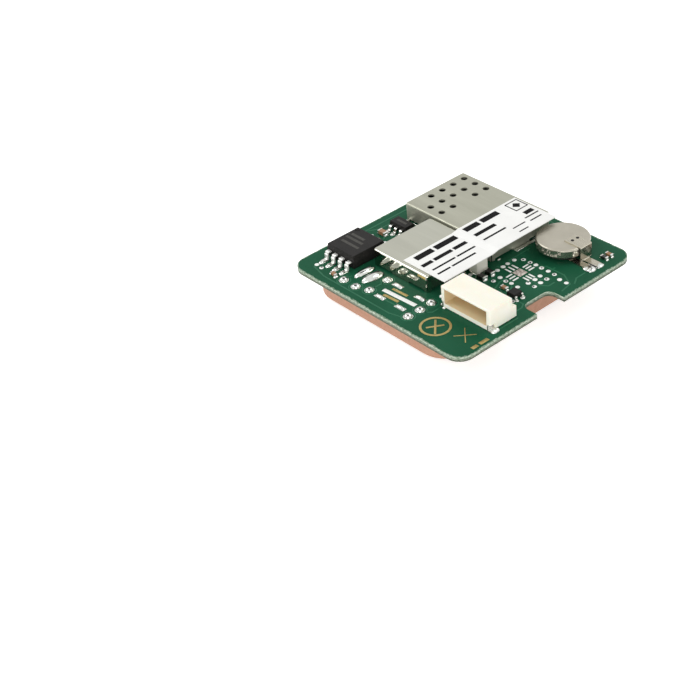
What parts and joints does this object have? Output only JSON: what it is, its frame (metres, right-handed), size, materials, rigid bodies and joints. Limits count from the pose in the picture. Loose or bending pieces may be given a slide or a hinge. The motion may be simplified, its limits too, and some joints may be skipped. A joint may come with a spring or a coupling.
{
  "type": "satellite positioning receiver module",
  "caption": "Square satellite receiver board with shield cans, backup cell and side-entry connector on one face, and a ceramic patch antenna bonded to the other.",
  "frame": {"origin": "centre of the board's outline seen from above, on the plane that touches the lowest point, the solder dome under the antenna", "axes": "+Z from the antenna towards the component side, +X towards the board's notched edge, -Y out of the connector's mouth"},
  "size_m": [0.03, 0.03, 0.0081],
  "materials": {
    "board": "green solder mask over copper and glass laminate, satin",
    "cell_gasket": "black moulded seal, matt",
    "cell_steel": "stainless steel, semi-bright",
    "cell_tab": "nickel-plated strip, semi-bright",
    "chip_black": "black glazed chip with tinned ends",
    "chip_tan": "tan chip ceramic with tinned ends",
    "connector_nylon": "cream moulded nylon, satin",
    "contact_tin": "tinned stamped bronze, semi-bright",
    "fired_ceramic": "fired microwave ceramic, fine grain, matt",
    "fired_silver": "fired silver paste, matt",
    "foam_tape": "black foam tape, matt",
    "label_paper": "coated label paper, matt",
    "lamp_lens": "yellow cast lens, glossy",
    "lead_tin": "tinned lead frame, semi-bright",
    "moulded_resin": "black moulded epoxy, fine matt",
    "package_ceramic": "package ceramic with a metal lid",
    "shield_tin": "tin-plated rolled sheet, semi-bright",
    "solder": "reflowed solder, bright"
  },
  "bodies": {
    "root": {"adhesive_pad": "foam_tape", "antenna_ceramic": "fired_ceramic", "antenna_filter": "package_ceramic", "bias_resistor": "chip_black", "cell_cap": "cell_steel", "cell_capacitor": "chip_tan", "cell_cup": "cell_steel", "cell_gasket": "cell_gasket", "cell_lower_tab": "cell_tab", "cell_resistor": "chip_black", "cell_upper_tab": "cell_tab", "circuit_board": "board", "clock_crystal": "package_ceramic", "connector_anchor_left": "contact_tin", "connector_anchor_right": "contact_tin", "connector_contact_1": "contact_tin", "connector_contact_2": "contact_tin", "connector_contact_3": "contact_tin", "connector_contact_4": "contact_tin", "connector_contact_5": "contact_tin", "connector_contact_6": "contact_tin", "connector_housing": "connector_nylon", "feed_pin": "solder", "feed_solder": "solder", "frontend_can": "shield_tin", "input_amplifier": "moulded_resin", "label": "label_paper", "lamp_capacitor": "chip_black", "lamp_driver": "chip_black", "lamp_resistor": "chip_black", "lead_capacitor": "chip_tan", "memory_capacitor": "chip_tan", "memory_chip": "moulded_resin", "memory_lead_1": "lead_tin", "memory_lead_2": "lead_tin", "memory_lead_3": "lead_tin", "memory_lead_4": "lead_tin", "memory_lead_5": "lead_tin", "memory_lead_6": "lead_tin", "memory_lead_7": "lead_tin", "memory_lead_8": "lead_tin", "patch_electrode": "fired_silver", "pin_solder": "solder", "port_capacitor": "chip_tan", "port_resistor": "chip_black", "receiver_can": "shield_tin", "receiver_chip": "moulded_resin", "reference_oscillator": "package_ceramic", "regulator_chip": "moulded_resin", "regulator_lead_1": "lead_tin", "regulator_lead_2": "lead_tin", "regulator_lead_3": "lead_tin", "regulator_lead_4": "lead_tin", "regulator_lead_5": "lead_tin", "signal_lamp": "lamp_lens", "supply_inductor": "chip_tan", "switch_transistor": "moulded_resin", "transistor_lead_1": "lead_tin", "transistor_lead_2": "lead_tin", "transistor_lead_3": "lead_tin"}
  },
  "joints": []
}
